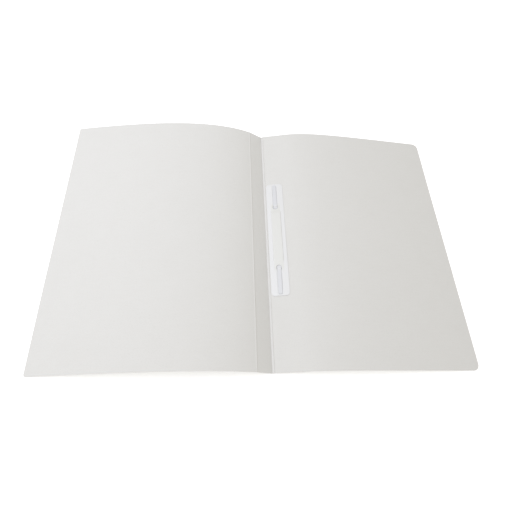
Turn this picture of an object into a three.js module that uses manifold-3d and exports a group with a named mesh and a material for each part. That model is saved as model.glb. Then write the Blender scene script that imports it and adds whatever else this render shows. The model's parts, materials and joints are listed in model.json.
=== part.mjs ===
// A card file for A4 sheets, lying open with its inside up and its covers bowed.
// Lengths are in millimetres and angles in degrees. X runs from the front cover to the
// back cover, Y runs along the spine to the far edge, and Z is up from the table.

import * as THREE from "three";
import { mergeVertices } from "three/addons/utils/BufferGeometryUtils.js";
import Module from "manifold-3d";

// The card
const fileHeight = 307;
const frontWidth = 220;
const backWidth = 220;
const spineWidth = 18.4;
const cardThickness = 0.5;
const frontCornerRadius = 2.5;
const backCornerRadius = 7;
const foldSetback = 0.2;

// The way that the open file lies
const spineTilt = 28.5;
const frontTilt = 21;
const frontCurl = 2.97;
const bindingTilt = 12.5;
const backCurl = 6.3;

// The glued joint of the two cards beside the spine
const flangeWidth = 32;
const backEdgeInset = 2.1;
const glueGap = 0.3;

// The two-prong fastener and its press plate
const holeInset = 13.2;
const holePitch = 80;
const holeDiameter = 6;
const restGap = 0.15;
const strapWidth = 11;
const strapLength = 104;
const strapThickness = 0.6;
const strapCornerRadius = 3;
const pocketMargin = 1;
const pocketRamp = 4;
const pocketEdge = 0.3;
const prongWidth = 4.2;
const prongThickness = 0.5;
const prongReach = 31.5;
const prongBendRadius = 0.9;
const prongEndRelief = 0.1;
const collarDiameter = 5.6;
const collarDrop = 0.25;
const plateWidth = 20.2;
const plateLength = 147;
const plateThickness = 0.6;
const plateCornerRadius = 4;
const ribWidth = 11.2;
const ribLength = 71;
const ribHeight = 0.6;
const ribWall = 0.5;
const ribEndRadius = 2;
const channelDepth = 0.25;
const channelClearance = 0.6;

// How far a cutting tool reaches past what it cuts
const cutMargin = 1;

// How finely round things are divided
const bowSteps = 26;
const cornerSteps = 6;
const holeSides = 32;
const bendSteps = 6;
const leastStationStep = 0.02;

// How the slope at a landing edge is searched for
const steepestLanding = -80;
const landingHalvings = 50;

const degree = Math.PI / 180;
const middleY = fileHeight / 2;

// Heights in the binding zone, measured square to it from the flange's inner face
const backCardTop = glueGap + cardThickness;
const plateBottom = backCardTop + restGap;
const plateTop = plateBottom + plateThickness;
const strapTop = glueGap - restGap;
const strapBottom = strapTop - strapThickness;
const pocketFloor = strapBottom - restGap;
const prongBottom = plateTop - channelDepth + restGap;

// The fold line at the valley lies at X = 0 here, just high enough for the card below it
const foldHeight = Math.max(
  cardThickness * Math.cos(bindingTilt * degree) - foldSetback * Math.sin(bindingTilt * degree),
  cardThickness * Math.cos(spineTilt * degree) - foldSetback * Math.sin(spineTilt * degree),
);

const wasm = await Module();
wasm.setup();

// Turns a closed geometry into a solid that can be joined and cut
function solidFrom(geometry) {
  const bare = geometry.index ? geometry.toNonIndexed() : geometry.clone();
  bare.deleteAttribute("normal");
  bare.deleteAttribute("uv");
  const merged = mergeVertices(bare, 1e-4);
  const mesh = new wasm.Mesh({
    numProp: 3,
    vertProperties: new Float32Array(merged.attributes.position.array),
    triVerts: new Uint32Array(merged.index.array),
  });
  return new wasm.Manifold(mesh);
}

// Turns a solid back into a geometry
function geometryFrom(solid) {
  const mesh = solid.getMesh();
  const geometry = new THREE.BufferGeometry();
  geometry.setAttribute("position", new THREE.BufferAttribute(mesh.vertProperties, 3));
  geometry.setIndex(new THREE.BufferAttribute(mesh.triVerts, 1));
  return geometry;
}

function namedMesh(name, geometry, material) {
  const mesh = new THREE.Mesh(geometry, material);
  mesh.name = name;
  geometry.computeVertexNormals();
  return mesh;
}

// A rectangle about (x, y) with round corners, as a closed outline
function roundedOutline(x, y, width, length, radius) {
  const left = x - width / 2;
  const right = x + width / 2;
  const low = y - length / 2;
  const high = y + length / 2;
  const outline = new THREE.Shape();
  outline.moveTo(left + radius, low);
  outline.lineTo(right - radius, low);
  outline.absarc(right - radius, low + radius, radius, -Math.PI / 2, 0, false);
  outline.lineTo(right, high - radius);
  outline.absarc(right - radius, high - radius, radius, 0, Math.PI / 2, false);
  outline.lineTo(left + radius, high);
  outline.absarc(left + radius, high - radius, radius, Math.PI / 2, Math.PI, false);
  outline.lineTo(left, low + radius);
  outline.absarc(left + radius, low + radius, radius, Math.PI, Math.PI * 1.5, false);
  return outline;
}

// An upright slab of an outline between two heights
function slab(outline, bottom, top) {
  const settings = { depth: top - bottom, bevelEnabled: false, curveSegments: cornerSteps };
  const geometry = new THREE.ExtrudeGeometry(outline, settings);
  geometry.translate(0, 0, bottom);
  return geometry;
}

// A round pin standing on (x, y), from one height to another
function pin(x, y, diameter, bottom, top) {
  const radius = diameter / 2;
  const geometry = new THREE.CylinderGeometry(radius, radius, top - bottom, holeSides);
  geometry.rotateX(Math.PI / 2);
  geometry.translate(x, y, (top + bottom) / 2);
  return geometry;
}

// The slope of a bowed card eases from its start to its end as it leaves the fold
function curlSlope(start, end, rate, share) {
  return end + (start - end) * Math.exp(-rate * share);
}

// The end slope with which a card that starts at a height comes down to the table
function landingSlope(start, rate, length, startHeight) {
  let steep = steepestLanding;
  let shallow = start;
  for (let round = 0; round < landingHalvings; round += 1) {
    const end = (steep + shallow) / 2;
    let height = startHeight;
    for (let step = 0; step < bowSteps; step += 1) {
      const slope = curlSlope(start, end, rate, (step + 0.5) / bowSteps) * degree;
      height += (Math.sin(slope) * length) / bowSteps;
    }
    height -= cardThickness * Math.cos(end * degree);
    if (height > 0) {
      shallow = end;
    } else {
      steep = end;
    }
  }
  return (steep + shallow) / 2;
}

// The inner face of a bowed card seen from its end: points with their distance along the card
function bowedProfile(start, end, rate, from, length) {
  const points = [{ along: 0, x: from.x, z: from.z, slope: start * degree }];
  for (let step = 0; step < bowSteps; step += 1) {
    const last = points[points.length - 1];
    const slope = curlSlope(start, end, rate, (step + 0.5) / bowSteps) * degree;
    points.push({
      along: (length * (step + 1)) / bowSteps,
      x: last.x + (Math.cos(slope) * length) / bowSteps,
      z: last.z + (Math.sin(slope) * length) / bowSteps,
      slope: curlSlope(start, end, rate, (step + 1) / bowSteps) * degree,
    });
  }
  return points;
}

// A card whose inner face follows a profile, with round corners at its free edge.
// The mirror factor is -1 for a card that runs towards -X.
function bowedCard(profile, cornerRadius, mirror) {
  const length = profile[profile.length - 1].along;
  const stations = new Set(profile.map((point) => point.along));
  for (let step = 0; step <= cornerSteps; step += 1) {
    const angle = (Math.PI / 2) * (step / cornerSteps);
    stations.add(length - cornerRadius + cornerRadius * Math.sin(angle));
  }
  const sorted = [...stations].sort((a, b) => a - b);
  const kept = sorted.filter((along, index) => {
    return index === 0 || along - sorted[index - 1] > leastStationStep;
  });
  const corners = [];
  for (const along of kept) {
    const next = Math.max(1, profile.findIndex((point) => point.along >= along - 1e-9));
    const a = profile[next - 1];
    const b = profile[next];
    const share = (along - a.along) / (b.along - a.along);
    const x = a.x + (b.x - a.x) * share;
    const z = a.z + (b.z - a.z) * share;
    const slope = a.slope + (b.slope - a.slope) * share;
    const past = Math.max(0, along - (length - cornerRadius));
    const trim = cornerRadius - Math.sqrt(Math.max(0, cornerRadius ** 2 - past ** 2));
    for (const y of [trim, fileHeight - trim]) {
      corners.push([mirror * x, y, z]);
      const below = [x + cardThickness * Math.sin(slope), z - cardThickness * Math.cos(slope)];
      corners.push([mirror * below[0], y, below[1]]);
    }
  }
  const faces = [];
  const quad = (a, b, c, d) => faces.push(a, b, c, a, c, d);
  for (let row = 0; row < kept.length - 1; row += 1) {
    const near = row * 4;
    const far = near + 4;
    quad(near, far, far + 2, near + 2);
    quad(near + 1, near + 3, far + 3, far + 1);
    quad(near, near + 1, far + 1, far);
    quad(near + 2, far + 2, far + 3, near + 3);
  }
  const last = (kept.length - 1) * 4;
  quad(0, 2, 3, 1);
  quad(last, last + 1, last + 3, last + 2);
  if (mirror < 0) {
    for (let corner = 0; corner < faces.length; corner += 3) {
      [faces[corner + 1], faces[corner + 2]] = [faces[corner + 2], faces[corner + 1]];
    }
  }
  const geometry = new THREE.BufferGeometry();
  geometry.setAttribute("position", new THREE.Float32BufferAttribute(corners.flat(), 3));
  geometry.setIndex(faces);
  return geometry;
}

// A point of the binding zone, given along and square to it, seen from its end
function zonePoint(along, above) {
  const tilt = bindingTilt * degree;
  return {
    x: along * Math.cos(tilt) - above * Math.sin(tilt),
    z: foldHeight + along * Math.sin(tilt) + above * Math.cos(tilt),
  };
}

// The front cover, from the score to its free edge on the table
function makeFrontCover() {
  const tilt = spineTilt * degree;
  const slope = frontTilt * degree;
  const from = {
    x: spineWidth * Math.cos(tilt) + foldSetback * Math.cos(slope),
    z: foldHeight + spineWidth * Math.sin(tilt) + foldSetback * Math.sin(slope),
  };
  const length = frontWidth - foldSetback;
  const end = landingSlope(frontTilt, frontCurl, length, from.z);
  const profile = bowedProfile(frontTilt, end, frontCurl, from, length);
  return { geometry: bowedCard(profile, frontCornerRadius, -1), reach: profile[profile.length - 1].x };
}

// The spine panel between the two folds
function makeSpinePanel() {
  const outline = new THREE.Shape();
  outline.moveTo(-spineWidth + foldSetback, 0);
  outline.lineTo(-foldSetback, 0);
  outline.lineTo(-foldSetback, fileHeight);
  outline.lineTo(-spineWidth + foldSetback, fileHeight);
  return slab(outline, -cardThickness, 0);
}

// The back cover: flat where the fastener holds it, then bowed down to the table
function makeBackCover() {
  const start = zonePoint(backEdgeInset, backCardTop);
  const bowStart = zonePoint(flangeWidth, backCardTop);
  const flat = flangeWidth - backEdgeInset;
  const length = backWidth - flangeWidth;
  const end = landingSlope(bindingTilt, backCurl, length, bowStart.z);
  const bow = bowedProfile(bindingTilt, end, backCurl, bowStart, length);
  const profile = [{ along: 0, x: start.x, z: start.z, slope: bindingTilt * degree }];
  for (const point of bow) {
    profile.push({ ...point, along: point.along + flat });
  }
  let card = solidFrom(bowedCard(profile, backCornerRadius, 1));
  for (const side of [-1, 1]) {
    const hole = pin(
      holeInset,
      middleY + (side * holePitch) / 2,
      holeDiameter,
      -cutMargin,
      backCardTop + cutMargin,
    );
    hole.rotateY(-bindingTilt * degree);
    hole.translate(0, 0, foldHeight);
    card = card.subtract(solidFrom(hole));
  }
  return { geometry: geometryFrom(card), reach: profile[profile.length - 1].x };
}

// The glued flange: a flat strip of card, pressed out over the strap that it covers
function makeGlueFlange() {
  const smooth = (value) => value * value * (3 - 2 * value);
  const ease = (distance, half) => {
    const out = Math.abs(distance) - half;
    return 1 - smooth(Math.min(1, Math.max(0, out / pocketRamp)));
  };
  const halfWidth = strapWidth / 2 + pocketMargin;
  const halfLength = strapLength / 2 + pocketMargin;
  const rampShares = [0, 0.25, 0.5, 0.75, 1];
  const across = [foldSetback, flangeWidth];
  const along = [0, fileHeight];
  for (const share of rampShares) {
    across.push(holeInset + halfWidth + share * pocketRamp);
    across.push(Math.max(foldSetback + pocketEdge, holeInset - halfWidth - share * pocketRamp));
    along.push(middleY + halfLength + share * pocketRamp, middleY - halfLength - share * pocketRamp);
  }
  const tidy = (values) => [...new Set(values)].sort((a, b) => a - b);
  const columns = tidy(across.filter((value) => value <= flangeWidth));
  const rows = tidy(along);
  const points = [];
  for (const lower of [0, cardThickness]) {
    for (const x of columns) {
      for (const y of rows) {
        const depth = ease(x - holeInset, halfWidth) * ease(y - middleY, halfLength);
        points.push(x, y, pocketFloor * depth - lower);
      }
    }
  }
  const count = columns.length * rows.length;
  const at = (column, row) => column * rows.length + row;
  const faces = [];
  const quad = (a, b, c, d) => faces.push(a, b, c, a, c, d);
  for (let column = 0; column < columns.length - 1; column += 1) {
    for (let row = 0; row < rows.length - 1; row += 1) {
      const a = at(column, row);
      const b = at(column + 1, row);
      quad(a, b, b + 1, a + 1);
      quad(count + a, count + a + 1, count + b + 1, count + b);
    }
  }
  const lastRow = rows.length - 1;
  const lastColumn = columns.length - 1;
  for (let column = 0; column < lastColumn; column += 1) {
    const near = [at(column, 0), at(column + 1, 0)];
    const far = [at(column, lastRow), at(column + 1, lastRow)];
    quad(near[0], count + near[0], count + near[1], near[1]);
    quad(far[0], far[1], count + far[1], count + far[0]);
  }
  for (let row = 0; row < lastRow; row += 1) {
    const left = at(0, row);
    const right = at(lastColumn, row);
    quad(left, left + 1, count + left + 1, count + left);
    quad(right, count + right, count + right + 1, right + 1);
  }
  const geometry = new THREE.BufferGeometry();
  geometry.setAttribute("position", new THREE.Float32BufferAttribute(points, 3));
  geometry.setIndex(faces);
  return geometry;
}

// The side view of one prong: up through its hole, over, and out along the plate.
// Its outline runs in (distance from the hole, height), and is drawn once for both sides.
function prongSideOutline() {
  const inner = prongBendRadius;
  const outer = inner + prongThickness;
  const riserIn = -prongThickness / 2;
  const riserOut = prongThickness / 2;
  const outline = new THREE.Shape();
  outline.moveTo(riserIn, strapBottom);
  outline.lineTo(riserOut, strapBottom);
  outline.lineTo(riserOut, prongBottom - inner);
  outline.absarc(riserOut + inner, prongBottom - inner, inner, Math.PI, Math.PI / 2, true);
  outline.lineTo(prongReach, prongBottom);
  outline.lineTo(prongReach, prongBottom + prongThickness);
  outline.lineTo(riserOut + inner, prongBottom + prongThickness);
  outline.absarc(riserOut + inner, prongBottom - inner, outer, Math.PI / 2, Math.PI, false);
  return outline;
}

// The strap with its two prongs, moulded as one piece and folded down outwards. A low round
// collar about each prong's root fills the holes of the card and of the plate.
function makeFastenerStrap() {
  const base = roundedOutline(holeInset, middleY, strapWidth, strapLength, strapCornerRadius);
  let strap = solidFrom(slab(base, strapBottom, strapTop));
  const settings = { depth: prongWidth, bevelEnabled: false, curveSegments: bendSteps };
  for (const side of [-1, 1]) {
    const hole = middleY + (side * holePitch) / 2;
    const prong = new THREE.ExtrudeGeometry(prongSideOutline(), settings);
    prong.rotateX(Math.PI / 2);
    prong.rotateZ((side * Math.PI) / 2);
    prong.translate(holeInset - (side * prongWidth) / 2, hole, 0);
    const length = prongReach + prongWidth;
    const tip = roundedOutline(
      holeInset,
      hole + side * (prongReach - length / 2),
      prongWidth,
      length,
      prongWidth / 2 - prongEndRelief,
    );
    const top = prongBottom + prongThickness;
    const bound = solidFrom(slab(tip, strapBottom - cutMargin, top + cutMargin));
    strap = strap.add(solidFrom(prong).intersect(bound));
    const collar = pin(holeInset, hole, collarDiameter, strapBottom, plateTop - collarDrop);
    strap = strap.add(solidFrom(collar));
  }
  return geometryFrom(strap);
}

// The press plate: a thin plate with a hollow raised rib between its two holes, and a
// shallow channel that each prong lies in
function makePressPlate() {
  const outline = roundedOutline(holeInset, middleY, plateWidth, plateLength, plateCornerRadius);
  let plate = solidFrom(slab(outline, plateBottom, plateTop));
  const rib = roundedOutline(holeInset, middleY, ribWidth, ribLength, ribEndRadius);
  plate = plate.add(solidFrom(slab(rib, plateTop - plateThickness / 2, plateTop + ribHeight)));
  const hollow = roundedOutline(
    holeInset,
    middleY,
    ribWidth - 2 * ribWall,
    ribLength - 2 * ribWall,
    ribEndRadius - ribWall,
  );
  const hollowTop = plateTop + ribHeight - ribWall;
  plate = plate.subtract(solidFrom(slab(hollow, plateBottom - cutMargin, hollowTop)));
  const channelWidth = prongWidth + 2 * channelClearance;
  const channelReach = prongReach + channelClearance;
  for (const side of [-1, 1]) {
    const hole = middleY + (side * holePitch) / 2;
    const channel = roundedOutline(
      holeInset,
      hole + (side * channelReach) / 2,
      channelWidth,
      channelReach,
      channelWidth / 2 - prongEndRelief,
    );
    const floor = plateTop - channelDepth;
    plate = plate.subtract(solidFrom(slab(channel, floor, plateTop + cutMargin)));
    const bore = pin(
      holeInset,
      hole,
      holeDiameter,
      plateBottom - cutMargin,
      plateTop + cutMargin,
    );
    plate = plate.subtract(solidFrom(bore));
  }
  return geometryFrom(plate);
}

// White card, slightly warm, and white polypropylene
const insideCard = new THREE.MeshStandardMaterial({ color: 0xe4e3e1, roughness: 0.85, metalness: 0 });
const plateWhite = new THREE.MeshStandardMaterial({ color: 0xededee, roughness: 0.4, metalness: 0 });
const strapWhite = new THREE.MeshStandardMaterial({ color: 0xe4e5e7, roughness: 0.45, metalness: 0 });

const frontCover = makeFrontCover();
const backCover = makeBackCover();

// The fold line is set off so that the file's width has its middle at X = 0
const file = new THREE.Group();
file.position.set((frontCover.reach - backCover.reach) / 2, -middleY, 0);
file.add(namedMesh("front_cover", frontCover.geometry, insideCard));
file.add(namedMesh("back_cover", backCover.geometry, insideCard));

const spine = new THREE.Group();
spine.position.set(0, 0, foldHeight);
spine.rotation.y = spineTilt * degree;
spine.add(namedMesh("spine_panel", makeSpinePanel(), insideCard));
file.add(spine);

const bindingZone = new THREE.Group();
bindingZone.position.set(0, 0, foldHeight);
bindingZone.rotation.y = -bindingTilt * degree;
bindingZone.add(namedMesh("glue_flange", makeGlueFlange(), insideCard));
bindingZone.add(namedMesh("fastener_strap", makeFastenerStrap(), strapWhite));
bindingZone.add(namedMesh("press_plate", makePressPlate(), plateWhite));
file.add(bindingZone);

const folder = new THREE.Group();
folder.add(file);

export default folder;
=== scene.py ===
"""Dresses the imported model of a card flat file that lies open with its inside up.

The front sheet of card is drawn whole across both of its folds, the back cover and the
plastic pieces get their fine shapes, and a plain floor, a soft light and a camera stand
round them. Lengths are in metres and angles in degrees, unless a name says otherwise.
"""

import json
import math

import bpy
import numpy as np
from mathutils import Matrix, Vector


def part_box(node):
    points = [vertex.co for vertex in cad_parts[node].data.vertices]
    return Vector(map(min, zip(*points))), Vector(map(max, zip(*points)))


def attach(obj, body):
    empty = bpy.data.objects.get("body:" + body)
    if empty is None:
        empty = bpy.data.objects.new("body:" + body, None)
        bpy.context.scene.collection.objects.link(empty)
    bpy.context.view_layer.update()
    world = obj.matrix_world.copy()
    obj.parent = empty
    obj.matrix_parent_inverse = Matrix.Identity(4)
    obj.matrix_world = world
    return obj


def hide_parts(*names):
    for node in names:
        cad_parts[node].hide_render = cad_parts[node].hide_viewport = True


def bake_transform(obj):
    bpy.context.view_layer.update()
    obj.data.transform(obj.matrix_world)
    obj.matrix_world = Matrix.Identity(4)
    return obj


bl_info = {
    "name": "Card flat file",
    "version": (1, 0, 0),
    "blender": (4, 5, 0),
    "location": "3D View > Sidebar > Flat File",
    "description": "Makes the card, the fastener and the press plate of an open flat file",
    "category": "Add Mesh",
}

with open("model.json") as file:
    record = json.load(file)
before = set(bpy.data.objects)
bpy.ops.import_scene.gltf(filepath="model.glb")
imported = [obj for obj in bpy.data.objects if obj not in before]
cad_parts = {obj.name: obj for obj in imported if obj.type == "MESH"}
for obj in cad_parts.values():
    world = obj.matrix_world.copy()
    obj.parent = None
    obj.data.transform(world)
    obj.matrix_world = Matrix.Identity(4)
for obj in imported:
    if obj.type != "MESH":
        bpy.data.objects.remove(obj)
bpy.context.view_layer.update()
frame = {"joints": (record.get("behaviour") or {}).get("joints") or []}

MM = 0.001

# Where the cover's sheet and the flange's sheet meet on the spine, before the fold
SEAM = 1.2 * MM
# How far on either side of a fold the card bends when it turns
# Half the side of the square of cells that makes way for the rings about a hole
HOLE_SQUARE = 4 * MM
# Width of the narrow cells along a cut edge
RIM = 0.3 * MM
# Light that the floor gives off, as a share of its colour
FLOOR_GLOW = 0.34

JOINT_AT = {joint["name"]: joint["pos_m"] for joint in frame["joints"]}
FOLD = np.array([JOINT_AT["spine_fold"][0], JOINT_AT["spine_fold"][2]])
SCORE = np.array([JOINT_AT["cover_fold"][0], JOINT_AT["cover_fold"][2]])
SPINE_WIDTH = float(np.hypot(*(SCORE - FOLD)))
SPINE_TILT = math.degrees(math.atan2(SCORE[1] - FOLD[1], FOLD[0] - SCORE[0]))
CARD_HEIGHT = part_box("front_cover")[1].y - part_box("front_cover")[0].y


def length_setting(name, words, default):
    """One length that a user would change."""
    return bpy.props.FloatProperty(
        name=name, description=words, default=default, min=0.0, unit="LENGTH", precision=5
    )


def angle_setting(name, words, default):
    """One angle in degrees that a user would change."""
    return bpy.props.FloatProperty(name=name, description=words, default=default)


def colour_setting(name, words, default):
    """One linear colour that a user would change."""
    return bpy.props.FloatVectorProperty(
        name=name, description=words, default=default, size=3, subtype="COLOR", min=0.0, max=1.0
    )


class FlatFileCard(bpy.types.PropertyGroup):
    """Sizes of the two cards and the way that they bow."""

    height: length_setting("Height", "Length of the card along the spine", CARD_HEIGHT)
    front_width: length_setting("Front width", "From the score to the front's free edge", 0.220)
    back_width: length_setting("Back width", "From the fold to the back's free edge", 0.220)
    thickness: length_setting("Card thickness", "Thickness of the card", 0.0005)
    front_corner: length_setting("Front corner", "Corner radius of the front cover", 0.0025)
    back_corner: length_setting("Back corner", "Corner radius of the back cover", 0.007)
    flange_width: length_setting("Flange width", "Glued strip under the back cover", 0.032)
    back_inset: length_setting("Back inset", "From the fold to the back cover's edge", 0.0021)
    glue_gap: length_setting("Glue gap", "Height of the back cover over the flange", 0.0003)
    edge_lift: length_setting("Edge lift", "Curl of the back cover's glued edge", 0.00045)
    bead_height: length_setting("Bead height", "Height of the bead along the score", 0.00025)
    bead_width: length_setting("Bead width", "Width of the bead along the score", 0.0015)
    wave_height: length_setting("Wave height", "Height of the slow waves in the card", 0.00045)
    front_tilt: angle_setting("Front tilt", "Slope of the front cover at the score", 21.0)
    front_curl: bpy.props.FloatProperty(
        name="Front curl", description="How fast the front's slope eases", default=2.97
    )
    binding_tilt: angle_setting("Binding tilt", "Slope of the flat binding zone", 12.5)
    back_curl: bpy.props.FloatProperty(
        name="Back curl", description="How fast the back's slope eases", default=6.3
    )


class FlatFileBinding(bpy.types.PropertyGroup):
    """Sizes of the fastener and of its press plate."""

    hole_inset: length_setting("Hole inset", "From the fold to the holes' middles", 0.0132)
    hole_pitch: length_setting("Hole pitch", "Between the two holes' middles", 0.080)
    hole_radius: length_setting("Hole radius", "Radius of the punched holes", 0.003)
    rest_gap: length_setting("Rest gap", "Air under the plate and under the prongs", 0.00015)
    strap_width: length_setting("Strap width", "Width of the hidden strip", 0.011)
    strap_length: length_setting("Strap length", "Length of the hidden strip", 0.104)
    strap_thickness: length_setting("Strap thickness", "Thickness of the hidden strip", 0.0006)
    prong_width: length_setting("Prong width", "Width of a prong", 0.0042)
    prong_thickness: length_setting("Prong thickness", "Thickness of a prong", 0.0005)
    prong_reach: length_setting("Prong reach", "From the hole's middle to the prong's tip", 0.0315)
    prong_bend: length_setting("Prong bend", "Inner radius of a prong's fold", 0.0009)
    collar_radius: length_setting("Collar radius", "Radius of the boss in a hole", 0.0028)
    collar_drop: length_setting("Collar drop", "How far a boss ends under the plate's top", 0.00025)
    collar_shift: length_setting("Collar shift", "How far a boss is off centre", 0.00012)
    plate_width: length_setting("Plate width", "Width of the press plate", 0.0202)
    plate_length: length_setting("Plate length", "Length of the press plate", 0.147)
    plate_thickness: length_setting("Plate thickness", "Thickness of the press plate", 0.0006)
    plate_corner: length_setting("Plate corner", "Corner radius of the press plate", 0.004)
    rib_width: length_setting("Rib width", "Width of the raised rib", 0.0112)
    rib_length: length_setting("Rib length", "Length of the raised rib", 0.071)
    web_length: length_setting("Web length", "Length of the thin middle of the plate", 0.092)
    rib_height: length_setting("Rib height", "Height of the rib over the plate", 0.0006)
    channel_depth: length_setting("Channel depth", "Depth of a prong's channel", 0.00025)
    channel_gap: length_setting("Channel gap", "Air beside a prong in its channel", 0.0006)
    edge_round: length_setting("Edge rounding", "Width of the plate's rounded edges", 0.0009)


class FlatFileFinish(bpy.types.PropertyGroup):
    """Colours of the card, of the plastic and of the floor."""

    card: colour_setting("Card", "Face of the card", (0.706, 0.701, 0.688))
    card_fleck: colour_setting("Card fleck", "Darker flecks in the card", (0.665, 0.656, 0.640))
    card_core: colour_setting("Card core", "Cut edge of the card", (0.64, 0.63, 0.61))
    # The plate's white is also the colour of the painted highlight on the prongs' bends
    plate: colour_setting("Plate", "White polypropylene", (0.714, 0.714, 0.722))
    plate_web: colour_setting("Plate web", "The thin rib over the card", (0.686, 0.685, 0.667))
    strap: colour_setting("Strap", "Polypropylene of the prongs", (0.640, 0.644, 0.666))
    floor: colour_setting("Floor", "The pale floor", (0.93, 0.93, 0.93))


class Field:
    """A number or a node's output that Python's own operators can work on."""

    def __init__(self, tree, socket):
        self.tree = tree
        self.socket = socket

    def maths(self, operation, *others):
        values = [self, *others]
        return self.tree.node("ShaderNodeMath", {"operation": operation}, dict(enumerate(values)))

    def __add__(self, other):
        return self.maths("ADD", other)

    def __sub__(self, other):
        return self.maths("SUBTRACT", other)

    def __rsub__(self, other):
        return self.tree.node("ShaderNodeMath", {"operation": "SUBTRACT"}, {0: other, 1: self})

    def __mul__(self, other):
        return self.maths("MULTIPLY", other)

    def __pow__(self, other):
        return self.maths("POWER", other)

    __radd__ = __add__
    __rmul__ = __mul__


class ShaderTree:
    """A tree of shader nodes that grows by plain calls."""

    def __init__(self, tree):
        self.nodes = tree.nodes
        self.links = tree.links

    def node(self, kind, settings=None, inputs=None, output=0):
        """Makes a node, applies its settings, then fills its sockets with values or links."""
        made = self.nodes.new(kind)
        for name, value in (settings or {}).items():
            setattr(made, name, value)
        for name, value in (inputs or {}).items():
            self.feed(made.inputs[name], value)
        return Field(self, made.outputs[output])

    def feed(self, socket, value):
        """Links a field to a socket, or writes a plain value on it."""
        if isinstance(value, Field):
            self.links.new(value.socket, socket)
        else:
            socket.default_value = value

    def mix(self, share, first, second):
        """Blends two colours by a share from 0 to 1."""
        inputs = {0: share, 6: first, 7: second}
        return self.node("ShaderNodeMix", {"data_type": "RGBA"}, inputs, output=2)

    def noise(self, place, scale, detail, roughness):
        """A noise pattern of a given number of spots per metre."""
        inputs = {"Vector": place, "Scale": scale, "Detail": detail, "Roughness": roughness}
        return self.node("ShaderNodeTexNoise", {}, inputs)

    def rise(self, value, start, end):
        """The way of a value from start to end, held between 0 and 1."""
        inputs = {"Value": value, "From Min": start, "From Max": end}
        return self.node("ShaderNodeMapRange", {}, inputs)


class Finish(ShaderTree):
    """One material's node tree, with a Principled shader at its end."""

    def __init__(self, name):
        self.material = bpy.data.materials.new(name)
        self.material.use_nodes = True
        super().__init__(self.material.node_tree)
        self.shader = self.nodes["Principled BSDF"]

    def place(self, stretch=(1.0, 1.0, 1.0)):
        """Object coordinates, stretched along the axes."""
        at = self.node("ShaderNodeTexCoord", output=3)
        return self.node("ShaderNodeMapping", {}, {"Vector": at, "Scale": stretch})

    def mask(self, name):
        """The piece's own attribute of that name."""
        return self.node("ShaderNodeAttribute", {"attribute_name": name}, output=2)

    def bump(self, height, strength, distance):
        """Feeds a height pattern to the shader's normal."""
        inputs = {"Height": height, "Strength": strength, "Distance": distance}
        self.feed(self.shader.inputs["Normal"], self.node("ShaderNodeBump", {}, inputs))

    def surface(self, **inputs):
        """Feeds the shader's sockets, named with underscores for spaces."""
        for name, value in inputs.items():
            self.feed(self.shader.inputs[name.replace("_", " ")], value)


def opaque(colour):
    """A colour with full alpha, as the colour sockets want it."""
    return (*colour, 1.0)


def card_finish(finish):
    """Uncoated white card: slow clouds, streaks of fibre square to the spine, short darker
    fibres and specks, and a cut edge."""
    made = Finish("uncoated_card")
    place = made.place()

    def along_x(stretch):
        return made.place((stretch, 1.0, 1.0))

    clouds = made.noise(place, scale=45.0, detail=4.0, roughness=0.6)
    streaks = made.noise(along_x(0.16), scale=420.0, detail=3.0, roughness=0.6)
    flecks = made.noise(place, scale=900.0, detail=3.0, roughness=0.6)
    fleck_share = clouds * 0.5 + streaks * 0.5 + flecks * 0.4 - 0.2
    face = made.mix(fleck_share, opaque(finish.card), opaque(finish.card_fleck))
    fibres = made.noise(along_x(0.3), scale=1500.0, detail=5.0, roughness=0.7)
    hairs = made.noise(along_x(0.22), scale=2300.0, detail=2.0, roughness=0.6)
    specks = made.noise(place, scale=1700.0, detail=2.0, roughness=0.5)
    marks = made.rise(hairs, 0.56, 0.70) * 0.7 + made.rise(specks, 0.60, 0.72) * 0.7
    face = made.mix(marks, face, opaque(finish.card_core))
    edge = made.mask("cut_edge") ** 2.0
    core = made.mix(edge * (flecks * 0.5 + 0.6), face, opaque(finish.card_core))
    made.surface(Base_Color=core, Roughness=0.70 + fibres * 0.16, Specular_IOR_Level=0.35)
    made.bump(fibres * 0.5 + streaks * 0.15, strength=0.3, distance=0.05 * MM)
    return made.material


def plate_finish(finish):
    """White polypropylene: a fine spark-eroded grain, and a warmer tone where it is thin."""
    made = Finish("moulded_plate")
    grain = made.noise(made.place(), scale=2600.0, detail=3.0, roughness=0.55)
    drift = made.noise(made.place(), scale=90.0, detail=3.0, roughness=0.5)
    tone = made.mix(made.mask("thin_web"), opaque(finish.plate), opaque(finish.plate_web))
    shaded = made.mix(drift * 0.12, tone, opaque(finish.plate_web))
    made.surface(Base_Color=shaded, Roughness=0.34 + grain * 0.14, IOR=1.49)
    made.bump(grain, strength=0.2, distance=0.03 * MM)
    return made.material


def strap_finish(finish):
    """Satin polypropylene of the prongs, with a painted highlight: whiter over each prong's bend.
    """
    made = Finish("moulded_strap")
    grain = made.noise(made.place((1.0, 0.25, 1.0)), scale=1800.0, detail=3.0, roughness=0.55)
    # The mask of the painted highlight: the plate's white is mixed in over each prong's bend
    highlight_share = made.mask("bend_stress")
    tone = made.mix(highlight_share, opaque(finish.strap), opaque(finish.plate))
    made.surface(Base_Color=tone, Roughness=0.30 + grain * 0.16, IOR=1.49)
    made.bump(grain, strength=0.25, distance=0.04 * MM)
    return made.material


def floor_finish(finish):
    """A pale, even floor with a faint paper grain, lit a little from below."""
    made = Finish("pale_floor")
    grain = made.noise(made.place(), scale=220.0, detail=3.0, roughness=0.5)
    tone = made.mix(grain * 0.06, opaque(finish.floor), opaque([0.97 * c for c in finish.floor]))
    made.surface(Base_Color=tone, Roughness=0.9, Specular_IOR_Level=0.1)
    made.surface(Emission_Color=opaque(finish.floor), Emission_Strength=FLOOR_GLOW)
    return made.material


def finish_named(name, maker):
    """The material of that name, made at its first use."""
    found = bpy.data.materials.get(name)
    return found or maker(bpy.context.scene.flat_file_finish)


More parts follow.
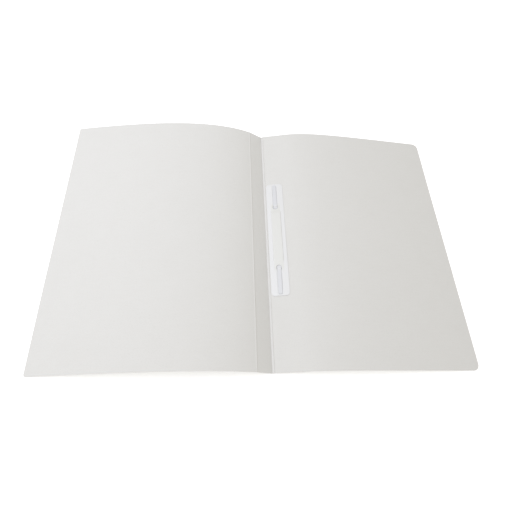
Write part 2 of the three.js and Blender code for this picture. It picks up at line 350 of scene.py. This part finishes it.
def spread(*stretches):
    """Joins stretches of (start, end, steps) into one rising array of stations."""
    parts = [np.linspace(start, end, steps + 1) for start, end, steps in stretches]
    joined = np.unique(np.round(np.concatenate(parts), 9))
    return joined[np.insert(np.diff(joined) > 1e-6, 0, True)]


def grid(across, along):
    """All points (across, along) and the quads between them, as whole arrays."""
    a, b = np.meshgrid(across, along, indexing="ij")
    points = np.stack([a.ravel(), b.ravel()], 1)
    index = np.arange(len(points)).reshape(a.shape)
    quads = np.stack([index[:-1, :-1], index[1:, :-1], index[1:, 1:], index[:-1, 1:]], -1)
    return points, quads.reshape(-1, 4)


def pierced_grid(across, along, holes):
    """A grid with round holes. The cells in a square about each hole make way for rings
    that lead from the circle to the square: point = circle + share * (square - circle)."""
    points, quads = grid(across, along)
    middles = points[quads].mean(1)
    all_points = [points]
    all_quads = []
    keep = np.ones(len(quads), bool)
    count = len(points)
    for x, y, radius, half in holes:
        inside = (abs(middles[:, 0] - x) < half) & (abs(middles[:, 1] - y) < half)
        keep &= ~inside
        xs = across[(across >= x - half - 1e-7) & (across <= x + half + 1e-7)]
        ys = along[(along >= y - half - 1e-7) & (along <= y + half + 1e-7)]
        low = np.stack([xs[:-1], np.full(len(xs) - 1, ys[0])], 1)
        right = np.stack([np.full(len(ys) - 1, xs[-1]), ys[:-1]], 1)
        high = np.stack([xs[:0:-1], np.full(len(xs) - 1, ys[-1])], 1)
        left = np.stack([np.full(len(ys) - 1, xs[0]), ys[:0:-1]], 1)
        square = np.concatenate([low, right, high, left])
        arm = square - (x, y)
        circle = (x, y) + radius * arm / np.linalg.norm(arm, axis=1)[:, None]
        shares = np.array([0.0, 0.08, 0.2, 0.4, 0.65, 1.0])[:, None, None]
        rings = (circle + shares * (square - circle)).reshape(-1, 2)
        index = np.arange(len(rings)).reshape(len(shares), len(square)) + count
        turned = np.roll(index, -1, axis=1)
        ring_quads = np.stack([index[:-1], index[1:], turned[1:], turned[:-1]], -1)
        all_points.append(rings)
        all_quads.append(ring_quads.reshape(-1, 4))
        count += len(rings)
    points = np.concatenate(all_points)
    quads = np.concatenate([quads[keep], *all_quads])
    return merged(points, quads)


def merged(points, quads):
    """Points that lie together become one, and points that no quad uses go."""
    keys, back = np.unique(np.round(points, 8), axis=0, return_inverse=True)
    quads = back.reshape(-1)[quads]
    used, quads_back = np.unique(quads, return_inverse=True)
    return keys[used], quads_back.reshape(-1, 4)


def rim_edges(quads):
    """The edges that only one quad has, in that quad's direction."""
    edges = np.stack([quads, np.roll(quads, -1, axis=1)], -1).reshape(-1, 2)
    ordered = np.sort(edges, axis=1)
    _, index, count = np.unique(ordered, axis=0, return_index=True, return_counts=True)
    return edges[index[count == 1]]


def make_object(name, corners, faces, masks=None, crisp=35.0):
    """Puts arrays of corners and faces into a new object at the origin, shaded smooth with
    sharp edges where faces meet at more than the crisp angle."""
    mesh = bpy.data.meshes.new(name)
    mesh.from_pydata(np.asarray(corners, float).tolist(), [], faces)
    mesh.update()
    mesh.polygons.foreach_set("use_smooth", np.ones(len(mesh.polygons), bool))
    mesh.set_sharp_from_angle(angle=math.radians(crisp))
    for mask, values in (masks or {}).items():
        attribute = mesh.attributes.new(mask, "FLOAT", "POINT")
        attribute.data.foreach_set("value", np.asarray(values, np.float32))
    piece = bpy.data.objects.new(name, mesh)
    bpy.context.scene.collection.objects.link(piece)
    return piece


def closed_sheet(name, flat, quads, place, masks=None, seam=None):
    """A closed sheet: place(flat, 1) gives its upper face, place(flat, 0) its lower one, and a
    wall joins them along every rim, round the outside and in each hole. A rim at the seam
    station meets another sheet, so it isn't marked as a cut edge."""
    upper = place(flat, 1.0)
    lower = place(flat, 0.0)
    count = len(flat)
    rim = rim_edges(quads)
    walls = np.stack([rim[:, 1], rim[:, 0], rim[:, 0] + count, rim[:, 1] + count], 1)
    faces = np.concatenate([quads, quads[:, ::-1] + count, walls])
    on_rim = np.zeros(count)
    on_rim[rim.ravel()] = 1.0
    if seam is not None:
        on_rim[np.abs(flat[:, 0] - seam) < 1e-7] = 0.0
    all_masks = {"cut_edge": np.tile(on_rim, 2)}
    for mask, values in (masks or {}).items():
        all_masks[mask] = np.tile(values, 2)
    return make_object(name, np.concatenate([upper, lower]), faces.tolist(), all_masks)


def ramp(value, start, end):
    """The share of the way from start to end, held between 0 and 1."""
    return np.clip((value - start) / (end - start), 0.0, 1.0)


def eased(share):
    """An S curve through a share: three times its square less twice its cube."""
    return share * share * (3 - 2 * share)


def quarter_fall(depth, radius):
    """How far a quarter circle has fallen at a depth past its start: the radius less the
    root of radius^2 - depth^2."""
    return radius - np.sqrt(np.maximum(0.0, radius**2 - depth**2))


def curl_slope(start, end, rate, share):
    """Slope of a bowed card: it eases from start to end by the exponential of its share."""
    return np.radians(end + (start - end) * np.exp(-rate * share))


def landing_slope(start, rate, length, height, thickness):
    """The end slope with which a card comes down from a height to the table, by halving."""
    samples, halvings, steepest = 200, 50, -80.0
    share = (np.arange(samples) + 0.5) / samples
    steep, shallow = steepest, start
    for _ in range(halvings):
        end = (steep + shallow) / 2
        rise = np.sin(curl_slope(start, end, rate, share)).mean() * length
        if height + rise - thickness * math.cos(math.radians(end)) > 0:
            shallow = end
        else:
            steep = end
    return (steep + shallow) / 2


class Profile:
    """A card's inner face seen from its end: x, z and slope at distances along the card,
    found by adding up the cosine and the sine of its slope."""

    def __init__(self, stations, slopes, start, mirror):
        middle = (slopes[1:] + slopes[:-1]) / 2
        steps = np.diff(stations)
        self.stations = stations
        self.slopes = slopes
        self.x = start[0] + mirror * np.insert(np.cumsum(np.cos(middle) * steps), 0, 0.0)
        self.z = start[1] + np.insert(np.cumsum(np.sin(middle) * steps), 0, 0.0)
        self.mirror = mirror

    def place(self, along, y, height):
        """The point at a distance along the card and a height square to its inner face."""
        x = np.interp(along, self.stations, self.x)
        z = np.interp(along, self.stations, self.z)
        slope = np.interp(along, self.stations, self.slopes)
        x = x - self.mirror * height * np.sin(slope)
        return np.stack([x, y, z + height * np.cos(slope)], 1)


def front_profile(card):
    """From the fold over the flat spine to the score, then along the bowed front cover."""
    end = landing_slope(
        card.front_tilt, card.front_curl, card.front_width, SCORE[1], card.thickness
    )
    spine = np.array([0.0, SPINE_WIDTH - RIM])
    bow = np.linspace(RIM, card.front_width, 700)
    slopes = curl_slope(card.front_tilt, end, card.front_curl, bow / card.front_width)
    stations = np.concatenate([spine, SPINE_WIDTH + bow])
    both = np.concatenate([np.full(2, math.radians(SPINE_TILT)), slopes])
    return Profile(stations, both, FOLD, -1)


def back_profile(card):
    """From the fold along the flat binding zone, then along the bowed back cover. It runs at
    the height of the back cover's inner face."""
    tilt = math.radians(card.binding_tilt)
    above = card.glue_gap + card.thickness
    start = FOLD + above * np.array([-math.sin(tilt), math.cos(tilt)])
    bow_length = card.back_width - card.flange_width
    bow_height = start[1] + card.flange_width * math.sin(tilt)
    end = landing_slope(
        card.binding_tilt, card.back_curl, bow_length, bow_height, card.thickness
    )
    bow = np.linspace(0.0, bow_length, 600)
    slopes = curl_slope(card.binding_tilt, end, card.back_curl, bow / bow_length)
    stations = np.concatenate([[0.0], card.flange_width + bow])
    return Profile(stations, np.concatenate([[tilt], slopes]), start, 1)


def rounded(flat, length, width, radius, both_ends=False):
    """Narrows a flat sheet towards its end, so that its corners are arcs: the half width
    loses the fall of a quarter circle at the way into the last radius."""
    past = np.maximum(0.0, flat[:, 0] - (length - radius))
    if both_ends:
        past = np.maximum(past, radius - flat[:, 0])
    shaped = flat.copy()
    shaped[:, 1] = flat[:, 1] * (1.0 - quarter_fall(past, radius) / (width / 2))
    return shaped


def bead(along, at, width, height):
    """The low ridge along a score: the Gaussian of the distance from it."""
    return height * np.exp(-(((along - at) / (width / 2)) ** 2))


def card_waves(along, y, card, phase):
    """Slow waves in the card, growing from the fold to the free edge: two crossed sines."""
    reach = ramp(along, 20 * MM, 220 * MM) ** 1.5
    first = np.sin(y * 21.0 + along * 9.0 + phase)
    second = np.sin(y * 47.0 - along * 14.0 + 2.0 * phase)
    lift = 0.5 + 0.5 * (0.65 * first + 0.35 * second)
    return card.wave_height * reach * lift


def half_height_rows(height):
    """Stations from one end of the spine to the other, closer together at both ends."""
    half = height / 2
    return spread((-half, -half + RIM, 2), (-half + RIM, half - RIM, 110), (half - RIM, half, 2))


def finished(piece, material, slot, *nodes):
    """Gives a piece its material and hides the CAD nodes that it stands for. The slot is not used.
    """
    piece.data.materials.append(material)
    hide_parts(*nodes)
    return piece


class FLATFILE_OT_front_sheet(bpy.types.Operator):
    """Makes the front sheet: the front cover with the spine, and the flange round the fold"""

    bl_idname = "flat_file.front_sheet"
    bl_label = "Front sheet"
    bl_options = {"REGISTER", "UNDO"}

    def execute(self, context):
        card = context.scene.flat_file_card
        self.make_cover(card)
        self.make_flange(card, context.scene.flat_file_binding)
        return {"FINISHED"}

    def make_cover(self, card):
        """The cover and the spine are one sheet on the front profile, pressed from its outer
        side along the score, so that a low bead stands on its inner face."""
        profile = front_profile(card)
        length = SPINE_WIDTH + card.front_width
        bead_zone = 1.6 * MM
        near, far = SPINE_WIDTH - bead_zone, SPINE_WIDTH + bead_zone
        corner = length - card.front_corner
        across = spread((SEAM, near, 12), (near, far, 22), (far, corner, 170))
        arc = corner + card.front_corner * np.sin(np.linspace(0, math.pi / 2, 12))
        across = np.concatenate([across[:-1], arc])
        flat, quads = grid(across, half_height_rows(card.height))
        flat = rounded(flat, length, card.height, card.front_corner)

        def place(points, upper):
            along, y = points[:, 0], points[:, 1]
            ridge = bead(along, SPINE_WIDTH, card.bead_width, card.bead_height)
            height = ridge * (1.0 if upper else 1.6) - card.thickness * (1.0 - upper)
            height = height + card_waves(along - SPINE_WIDTH, y, card, 0.7)
            return profile.place(along, y, height)

        piece = closed_sheet("front_cover_sheet", flat, quads[:, ::-1], place, seam=SEAM)
        material = finish_named("uncoated_card", card_finish)
        finished(piece, material, "card", "front_cover", "spine_panel")
        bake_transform(piece)

    def make_flange(self, card, binding):
        """The flange starts on the spine just before the fold, turns through the fold, rises
        to the back cover that is glued on it, and is pressed out over the strap."""
        tilt = math.radians(card.binding_tilt)
        spine_tilt = math.radians(SPINE_TILT)
        bend, pocket_margin, pocket_ramp = 0.3 * MM, MM, 4 * MM
        start = FOLD + SEAM * np.array([-math.cos(spine_tilt), math.sin(spine_tilt)])
        stations = spread((-SEAM, -bend, 3), (-bend, bend, 16), (bend, card.flange_width, 90))
        slopes = -spine_tilt + (tilt + spine_tilt) * eased(ramp(stations, -bend, bend))
        profile = Profile(stations, slopes, start, 1)
        flat, quads = grid(stations, half_height_rows(card.height))
        deep = binding.strap_thickness + 2 * binding.rest_gap - card.glue_gap

        def pressed(distance, half):
            return 1.0 - eased(ramp(np.abs(distance), half, half + pocket_ramp))

        def place(points, upper):
            along, y = points[:, 0], points[:, 1]
            glued = ramp(along, bend, card.back_inset)
            pocket = pressed(along - binding.hole_inset, binding.strap_width / 2 + pocket_margin)
            pocket = pocket * pressed(y, binding.strap_length / 2 + pocket_margin)
            rise = 0.95 * card.glue_gap * glued
            height = rise * (1 - pocket) - deep * pocket - card.thickness * (1.0 - upper)
            return profile.place(along, y, height)

        piece = closed_sheet("fold_and_flange", flat, quads, place, seam=-SEAM)
        finished(piece, finish_named("uncoated_card", card_finish), "card", "glue_flange")
        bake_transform(piece)


class FLATFILE_OT_back_cover(bpy.types.Operator):
    """Makes the back cover with its two punched holes"""

    bl_idname = "flat_file.back_cover"
    bl_label = "Back cover"
    bl_options = {"REGISTER", "UNDO"}

    def execute(self, context):
        card = context.scene.flat_file_card
        binding = context.scene.flat_file_binding
        profile = back_profile(card)
        length = card.back_width
        inset = binding.hole_inset
        half = HOLE_SQUARE
        corner = length - card.back_corner
        lifted = card.back_inset + 2 * MM
        lift_fade = 0.35 * MM
        across = spread(
            (card.back_inset, lifted, 12),
            (lifted, inset - half, 6),
            (inset - half, inset + half, 8),
            (inset + half, corner, 150),
        )
        arc = corner + card.back_corner * np.sin(np.linspace(0, math.pi / 2, 14))
        across = np.concatenate([across[:-1], arc])
        hole_y = binding.hole_pitch / 2
        outer = card.height / 2
        along = spread(
            (-outer, -outer + RIM, 2),
            (-outer + RIM, -hole_y - half, 40),
            (-hole_y - half, -hole_y + half, 8),
            (-hole_y + half, hole_y - half, 30),
            (hole_y - half, hole_y + half, 8),
            (hole_y + half, outer - RIM, 40),
            (outer - RIM, outer, 2),
        )
        holes = [(inset, side * hole_y, binding.hole_radius, half) for side in (-1, 1)]
        flat, quads = pierced_grid(across, along, holes)
        flat = rounded(flat, length, card.height, card.back_corner)

        def place(points, upper):
            along_card, y = points[:, 0], points[:, 1]
            wave = card_waves(along_card - card.flange_width, y, card, 2.1)
            lift = card.edge_lift * np.exp((card.back_inset - along_card) / lift_fade)
            return profile.place(along_card, y, wave + lift - card.thickness * (1.0 - upper))

        piece = closed_sheet("back_cover_sheet", flat, quads, place)
        finished(piece, finish_named("uncoated_card", card_finish), "card", "back_cover")
        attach(piece, "back")
        return {"FINISHED"}


def zone_point(card, across, y, height):
    """Points of the flat binding zone: across from the fold, height square to the flange."""
    tilt = math.radians(card.binding_tilt)
    x = FOLD[0] + across * math.cos(tilt) - height * math.sin(tilt)
    z = FOLD[1] + across * math.sin(tilt) + height * math.cos(tilt)
    return np.stack([x, y, z], -1)


def plate_heights(card, binding):
    """Heights over the flange's inner face of the plate's lower and upper side."""
    lower = card.glue_gap + card.thickness + binding.rest_gap
    return lower, lower + binding.plate_thickness


class FLATFILE_OT_fastener(bpy.types.Operator):
    """Makes the strap with its two prongs folded down on the press plate"""

    bl_idname = "flat_file.fastener"
    bl_label = "Fastener"
    bl_options = {"REGISTER", "UNDO"}

    strap_corner = 3 * MM
    collar_edge = 0.15 * MM
    collar_foot = 0.1 * MM
    prong_spring = 0.25 * MM
    tip_share = 0.28
    tip_taper = 0.85
    section_power = 0.35
    # Width of the painted highlight along a prong's bend
    highlight_width = 1.3 * MM

    def execute(self, context):
        card = context.scene.flat_file_card
        binding = context.scene.flat_file_binding
        parts = [self.base(card, binding)]
        for side in (-1, 1):
            parts += [self.prong(card, binding, side), self.collar(card, binding, side)]
        corners, faces, highlight_share, count = [], [], [], 0
        for part_corners, part_faces, part_highlight in parts:
            corners.append(part_corners)
            faces += [[corner + count for corner in face] for face in part_faces]
            highlight_share.append(part_highlight)
            count += len(part_corners)
        # The painted highlight over the prongs' bends goes to the material as a mask
        masks = {"bend_stress": np.concatenate(highlight_share)}
        piece = make_object("fastener_prongs", np.concatenate(corners), faces, masks, 50.0)
        material = finish_named("moulded_strap", strap_finish)
        finished(piece, material, "strap_plastic", "fastener_strap")
        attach(piece, "back")
        return {"FINISHED"}

    def base(self, card, binding):
        """The hidden strip: a flat grid with round corners, closed to a thin slab."""
        length, width, radius = binding.strap_length, binding.strap_width, self.strap_corner
        arc = radius * (1 - np.cos(np.linspace(0, math.pi / 2, 7)))
        along = np.concatenate([arc, length - arc[::-1]])
        flat, quads = grid(along, np.linspace(-width / 2, width / 2, 7))
        flat = rounded(flat, length, width, radius, both_ends=True)
        across, y = binding.hole_inset - flat[:, 1], flat[:, 0] - length / 2
        top = np.full(len(flat), card.glue_gap - binding.rest_gap)
        upper = zone_point(card, across, y, top)
        lower = zone_point(card, across, y, top - binding.strap_thickness)
        rim = rim_edges(quads)
        count = len(flat)
        walls = np.stack([rim[:, 1], rim[:, 0], rim[:, 0] + count, rim[:, 1] + count], 1)
        faces = np.concatenate([quads, quads[:, ::-1] + count, walls])
        return np.concatenate([upper, lower]), faces[:, ::-1].tolist(), np.zeros(2 * count)

    def collar(self, card, binding, side):
        """The round boss that fills a hole round the prong's root: a profile of radii and
        heights turned about the hole's axis."""
        upper = plate_heights(card, binding)[1]
        top = upper - binding.collar_drop
        radius, edge = binding.collar_radius, self.collar_edge
        bend = np.linspace(0, math.pi / 2, 6)
        radii = np.concatenate([[radius], radius - edge + edge * np.cos(bend), [0.02 * MM]])
        foot = -self.collar_foot
        heights = np.concatenate([[foot], top - edge + edge * np.sin(bend), [top]])
        turns = np.linspace(0, 2 * math.pi, 49)[:-1]
        across = binding.hole_inset + binding.collar_shift + radii[:, None] * np.cos(turns)
        y = side * binding.hole_pitch / 2 + binding.collar_shift + radii[:, None] * np.sin(turns)
        height = heights[:, None] * np.ones(len(turns))
        corners = zone_point(card, across, y, height).reshape(-1, 3)
        index = np.arange(radii.size * turns.size).reshape(radii.size, turns.size)
        turned = np.roll(index, -1, axis=1)
        quads = np.stack([index[:-1], turned[:-1], turned[1:], index[1:]], -1).reshape(-1, 4)
        faces = quads.tolist() + [index[0, ::-1].tolist(), index[-1].tolist()]
        return corners, faces, np.zeros(len(corners))

    def prong(self, card, binding, side):
        """A round-edged section carried up through the hole, round the fold and out along the
        plate: corner = path + width * across + thickness * normal of the path."""
        thick, width = binding.prong_thickness, binding.prong_width
        lower, upper = plate_heights(card, binding)
        rest = upper - binding.channel_depth + binding.rest_gap
        radius = binding.prong_bend + thick / 2
        bend_y, bend_z = radius, rest + thick / 2 - radius
        bottom = card.glue_gap - binding.rest_gap - binding.strap_thickness * 0.8
        rise = np.linspace(bottom, bend_z, 10)[:-1]
        angle = np.linspace(0, math.pi / 2, 15)
        tip = binding.prong_reach
        tip_radius = width * self.tip_share
        run = np.linspace(bend_y, tip - tip_radius, 24)[1:]
        last = tip - tip_radius + tip_radius * np.sin(np.linspace(0, math.pi / 2, 12))[1:]
        path_y = np.concatenate([0 * rise, bend_y - radius * np.cos(angle), run, last])
        path_z = np.concatenate([rise, bend_z + radius * np.sin(angle), 0 * run, 0 * last])
        flat_from = len(rise) + len(angle)
        out = (path_y[flat_from:] - bend_y) / (tip - bend_y)
        arch = self.prong_spring * np.sin(np.pi * out)
        path_z[flat_from:] = rest + thick / 2 + arch
        turn_y, turn_z = np.gradient(path_y), np.gradient(path_z)
        norm = np.hypot(turn_y, turn_z)
        normal_y, normal_z = -turn_z / norm, turn_y / norm
        past = np.clip((path_y - (tip - tip_radius)) / tip_radius, 0, 0.995)
        shrink = np.sqrt(1 - past**2)
        half_width = width / 2 * (1 - (1 - shrink) * self.tip_taper)
        turns = np.linspace(0, 2 * math.pi, 33)[:-1]
        section_x = np.sign(np.cos(turns)) * np.abs(np.cos(turns)) ** self.section_power
        section_n = np.sign(np.sin(turns)) * np.abs(np.sin(turns)) ** self.section_power
        across = binding.hole_inset + half_width[:, None] * section_x
        depth = thick / 2 * section_n * np.ones_like(half_width)[:, None]
        y = side * (binding.hole_pitch / 2 + path_y[:, None] + depth * normal_y[:, None])
        height = path_z[:, None] + depth * normal_z[:, None]
        corners = zone_point(card, across, y, height).reshape(-1, 3)
        rows, columns = len(path_y), len(turns)
        index = np.arange(rows * columns).reshape(rows, columns)
        turned = np.roll(index, -1, axis=1)
        quads = np.stack([index[:-1], turned[:-1], turned[1:], index[1:]], -1).reshape(-1, 4)
        faces = quads.tolist() + [index[0, ::-1].tolist(), index[-1].tolist()]
        if side > 0:
            faces = [face[::-1] for face in faces]
        # A painted highlight, strongest at the middle of the bend and fading to both sides; the
        # stem in the hole gets none
        highlight_share = np.exp(-(((path_y - bend_y * 0.5) / self.highlight_width) ** 2))
        highlight_share[: len(rise)] = 0.0
        return corners, faces, np.repeat(highlight_share, columns)


class FLATFILE_OT_press_plate(bpy.types.Operator):
    """Makes the press plate with its raised rib, its channels and its two holes"""

    bl_idname = "flat_file.press_plate"
    bl_label = "Press plate"
    bl_options = {"REGISTER", "UNDO"}

    shoulder = 0.5 * MM
    channel_wall = 0.3 * MM
    hole_round = 0.25 * MM
    crown = 0.3 * MM
    edge_share = 0.28
    rib_hollow = 0.85
    skirt_width = 1.2 * MM
    skirt_share = 0.8

    def execute(self, context):
        card = context.scene.flat_file_card
        binding = context.scene.flat_file_binding
        length, width = binding.plate_length, binding.plate_width
        flat, quads = self.plan(binding)
        shaped = rounded(flat, length, width, binding.plate_corner, both_ends=True)
        x, y = shaped[:, 1], shaped[:, 0] - length / 2
        lower, upper = plate_heights(card, binding)
        rise = self.rib(binding, x, y) * binding.rib_height
        inside = self.depth_inside(x, y, width, length, binding.plate_corner)
        top = upper + rise - self.falls(binding, x, y, inside)
        skirt = ramp(inside, self.skirt_width, 0.0) * self.skirt_share * binding.rest_gap
        bottom = lower + rise * self.rib_hollow - skirt

        def place(points, is_upper):
            height = top if is_upper else bottom
            return zone_point(card, binding.hole_inset + x, y, height)

        masks = {"thin_web": self.web(binding, x, y)}
        piece = closed_sheet("press_plate_moulding", shaped, quads[:, ::-1], place, masks)
        material = finish_named("moulded_plate", plate_finish)
        finished(piece, material, "plate_plastic", "press_plate")
        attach(piece, "back")
        return {"FINISHED"}

    def plan(self, binding):
        """The pierced grid of the plate seen from above, with narrow cells along its rim,
        at its corners, about the holes and at the rib's ends."""
        length, width = binding.plate_length, binding.plate_width
        radius, middle, half = binding.plate_corner, length / 2, HOLE_SQUARE
        quarter = 1 - np.cos(np.linspace(0, math.pi / 2, 8))
        rim = binding.edge_round * quarter
        arc = radius * (1 - np.cos(np.linspace(0, math.pi / 2, 14)))
        ends = np.concatenate([rim, arc[arc > binding.edge_round + 0.1 * MM]])
        hole_y = binding.hole_pitch / 2
        rib_end = 33 * MM
        body = spread(
            (radius, middle - hole_y - half, 60),
            (middle - hole_y - half, middle - hole_y + half, 24),
            (middle - hole_y + half, middle - rib_end, 16),
            (middle - rib_end, middle + rib_end, 60),
            (middle + rib_end, middle + hole_y - half, 16),
            (middle + hole_y - half, middle + hole_y + half, 24),
            (middle + hole_y + half, length - radius, 60),
        )
        along = np.unique(np.round(np.concatenate([ends, body, length - ends]), 8))
        edge = width / 2
        past = edge - 1.1 * MM
        inner = spread((-past, -half, 22), (-half, half, 24), (half, past, 22))
        across = np.concatenate([-edge + rim, inner, edge - rim[::-1]])
        holes = [(middle + side * hole_y, 0.0, binding.hole_radius, half) for side in (-1, 1)]
        return pierced_grid(along, across, holes)

    def rib(self, binding, x, y):
        """The rib's share of its height: an S curve over its shoulder, run out at its ends."""
        inside = self.depth_inside(x, y, binding.rib_width, binding.rib_length, 2 * MM)
        run_out = ramp(np.abs(y), binding.rib_length / 2, binding.rib_length / 2 - 5 * MM)
        return eased(ramp(inside, -self.shoulder / 2, self.shoulder / 2)) * eased(run_out)

    def falls(self, binding, x, y, inside):
        """How far the top lies under the plate's full height: the rounded edges, the crown
        towards both sides, the rounded rims of the holes and the prongs' channels."""
        round_edge, round_hole = binding.edge_round, self.hole_round
        edge = self.edge_share * quarter_fall(np.maximum(0.0, round_edge - inside), round_edge)
        crown = self.crown * ramp(np.abs(x), HOLE_SQUARE, binding.plate_width / 2)
        out = np.abs(y) - binding.hole_pitch / 2
        away = np.hypot(x, out) - binding.hole_radius
        hole = quarter_fall(np.maximum(0.0, round_hole - away), round_hole)
        half = binding.prong_width / 2 + binding.channel_gap
        reach = binding.prong_reach + binding.channel_gap
        deep = self.depth_inside(x, out - reach / 2, 2 * half, reach, half * 0.9)
        channel = ramp(deep, -self.channel_wall / 2, self.channel_wall / 2)
        return edge + crown + hole + channel * binding.channel_depth

    def web(self, binding, x, y):
        """The mask of the plate's thin middle, which fades at both ends."""
        inside = self.depth_inside(x, y, binding.rib_width, binding.web_length, MM)
        fade = ramp(np.abs(y), binding.web_length / 2, binding.web_length / 2 - 5 * MM)
        return ramp(inside, -0.2 * MM, 0.4 * MM) * fade

    def depth_inside(self, x, y, width, length, radius):
        """How deep a point lies inside a rounded rectangle about the middle: the radius less
        the distance from the rectangle that the corner arcs' middles span."""
        from_x = np.abs(x) - (width / 2 - radius)
        from_y = np.abs(y) - (length / 2 - radius)
        outside = np.hypot(np.maximum(from_x, 0), np.maximum(from_y, 0))
        return radius - outside - np.minimum(np.maximum(from_x, from_y), 0)


class FLATFILE_OT_stage(bpy.types.Operator):
    """Makes the pale floor, the soft studio light and the camera"""

    bl_idname = "flat_file.stage"
    bl_label = "Stage"
    bl_options = {"REGISTER", "UNDO"}

    camera_at = (-49.41 * MM, -216.24 * MM, 385.87 * MM)
    camera_pitch = 62.812
    camera_yaw = 12.659
    camera_roll = -12.261
    focal_pixels = 381.9
    frame_pixels = 510
    floor_half = 4.0
    lamp_at = (-0.45, 0.13, 1.0)
    lamp_size = 1.3
    lamp_watts = 10.5
    lamp_colour = (0.86, 0.90, 1.0)
    horizon = (0.86, 0.845, 0.81)
    zenith = (0.562, 0.537, 0.474)
    haze_top = 0.4

    def execute(self, context):
        self.floor()
        self.light()
        self.camera(context)
        return {"FINISHED"}

    def floor(self):
        half = self.floor_half
        corners = [(-half, -half, 0), (half, -half, 0), (half, half, 0), (-half, half, 0)]
        floor = make_object("floor", corners, [(0, 1, 2, 3)])
        floor.data.materials.append(finish_named("pale_floor", floor_finish))

    def light(self):
        """A wide soft light at the upper left, and a pale sky for the fill: as light as the
        floor at the horizon, and even from the haze's top up to the zenith."""
        lamp = bpy.data.lights.new("window_light", "AREA")
        lamp.shape = "DISK"
        lamp.size = self.lamp_size
        lamp.energy = self.lamp_watts
        lamp.color = self.lamp_colour
        light = bpy.data.objects.new("window_light", lamp)
        bpy.context.scene.collection.objects.link(light)
        light.location = self.lamp_at
        light.rotation_euler = Vector(self.lamp_at).to_track_quat("Z", "Y").to_euler()
        world = bpy.data.worlds.new("studio")
        world.use_nodes = True
        sky = ShaderTree(world.node_tree)
        way = sky.node("ShaderNodeTexCoord")
        height = sky.node("ShaderNodeSeparateXYZ", {}, {"Vector": way}, output=2)
        share = sky.rise(height, 0.0, self.haze_top)
        colour = sky.mix(share, opaque(self.horizon), opaque(self.zenith))
        background = sky.nodes["Background"]
        sky.feed(background.inputs["Color"], colour)
        sky.feed(background.inputs["Strength"], 1.0)
        bpy.context.scene.world = world
        bpy.context.scene.view_settings.view_transform = "Standard"

    def camera(self, context):
        """Forward is the yaw about Z, then the pitch down, and the picture is rolled about it."""
        pitch, yaw, roll = (
            math.radians(angle) for angle in (self.camera_pitch, self.camera_yaw, self.camera_roll)
        )
        forward = Vector(
            (math.sin(yaw) * math.cos(pitch), math.cos(yaw) * math.cos(pitch), -math.sin(pitch))
        )
        level = Vector((math.cos(yaw), -math.sin(yaw), 0.0))
        down = forward.cross(level)
        right = level * math.cos(roll) + down * math.sin(roll)
        up = level * math.sin(roll) - down * math.cos(roll)
        turn = Matrix((right, up, -forward)).transposed()
        camera = bpy.data.cameras.new("camera")
        camera.sensor_width = 36.0
        camera.lens = self.focal_pixels / self.frame_pixels * camera.sensor_width
        camera.clip_start = 0.01
        eye = bpy.data.objects.new("camera", camera)
        eye.matrix_world = Matrix.Translation(self.camera_at) @ turn.to_4x4()
        context.scene.collection.objects.link(eye)
        context.scene.camera = eye


class FLATFILE_PT_panel(bpy.types.Panel):
    """Lists the pieces of the flat file"""

    bl_idname = "FLATFILE_PT_panel"
    bl_label = "Flat File"
    bl_space_type = "VIEW_3D"
    bl_region_type = "UI"
    bl_category = "Flat File"

    def draw(self, context):
        layout = self.layout
        for operator in OPERATORS:
            layout.operator(operator.bl_idname)
        for group in SETTINGS:
            settings = getattr(context.scene, group)
            for name in settings.bl_rna.properties.keys():
                if name not in ("rna_type", "name"):
                    layout.prop(settings, name)


SETTINGS = {
    "flat_file_card": FlatFileCard,
    "flat_file_binding": FlatFileBinding,
    "flat_file_finish": FlatFileFinish,
}
OPERATORS = (
    FLATFILE_OT_stage,
    FLATFILE_OT_front_sheet,
    FLATFILE_OT_back_cover,
    FLATFILE_OT_fastener,
    FLATFILE_OT_press_plate,
)


def register():
    """Registers the settings, the operators and the panel."""
    for kind in (*SETTINGS.values(), *OPERATORS, FLATFILE_PT_panel):
        bpy.utils.register_class(kind)
    for name, kind in SETTINGS.items():
        setattr(bpy.types.Scene, name, bpy.props.PointerProperty(type=kind))


def unregister():
    """Takes back what register made."""
    for name in SETTINGS:
        delattr(bpy.types.Scene, name)
    for kind in reversed((*SETTINGS.values(), *OPERATORS, FLATFILE_PT_panel)):
        bpy.utils.unregister_class(kind)


def main():
    """Makes every piece in order."""
    register()
    bpy.ops.flat_file.stage()
    bpy.ops.flat_file.front_sheet()
    bpy.ops.flat_file.back_cover()
    bpy.ops.flat_file.fastener()
    bpy.ops.flat_file.press_plate()


if __name__ == "__main__":
    main()
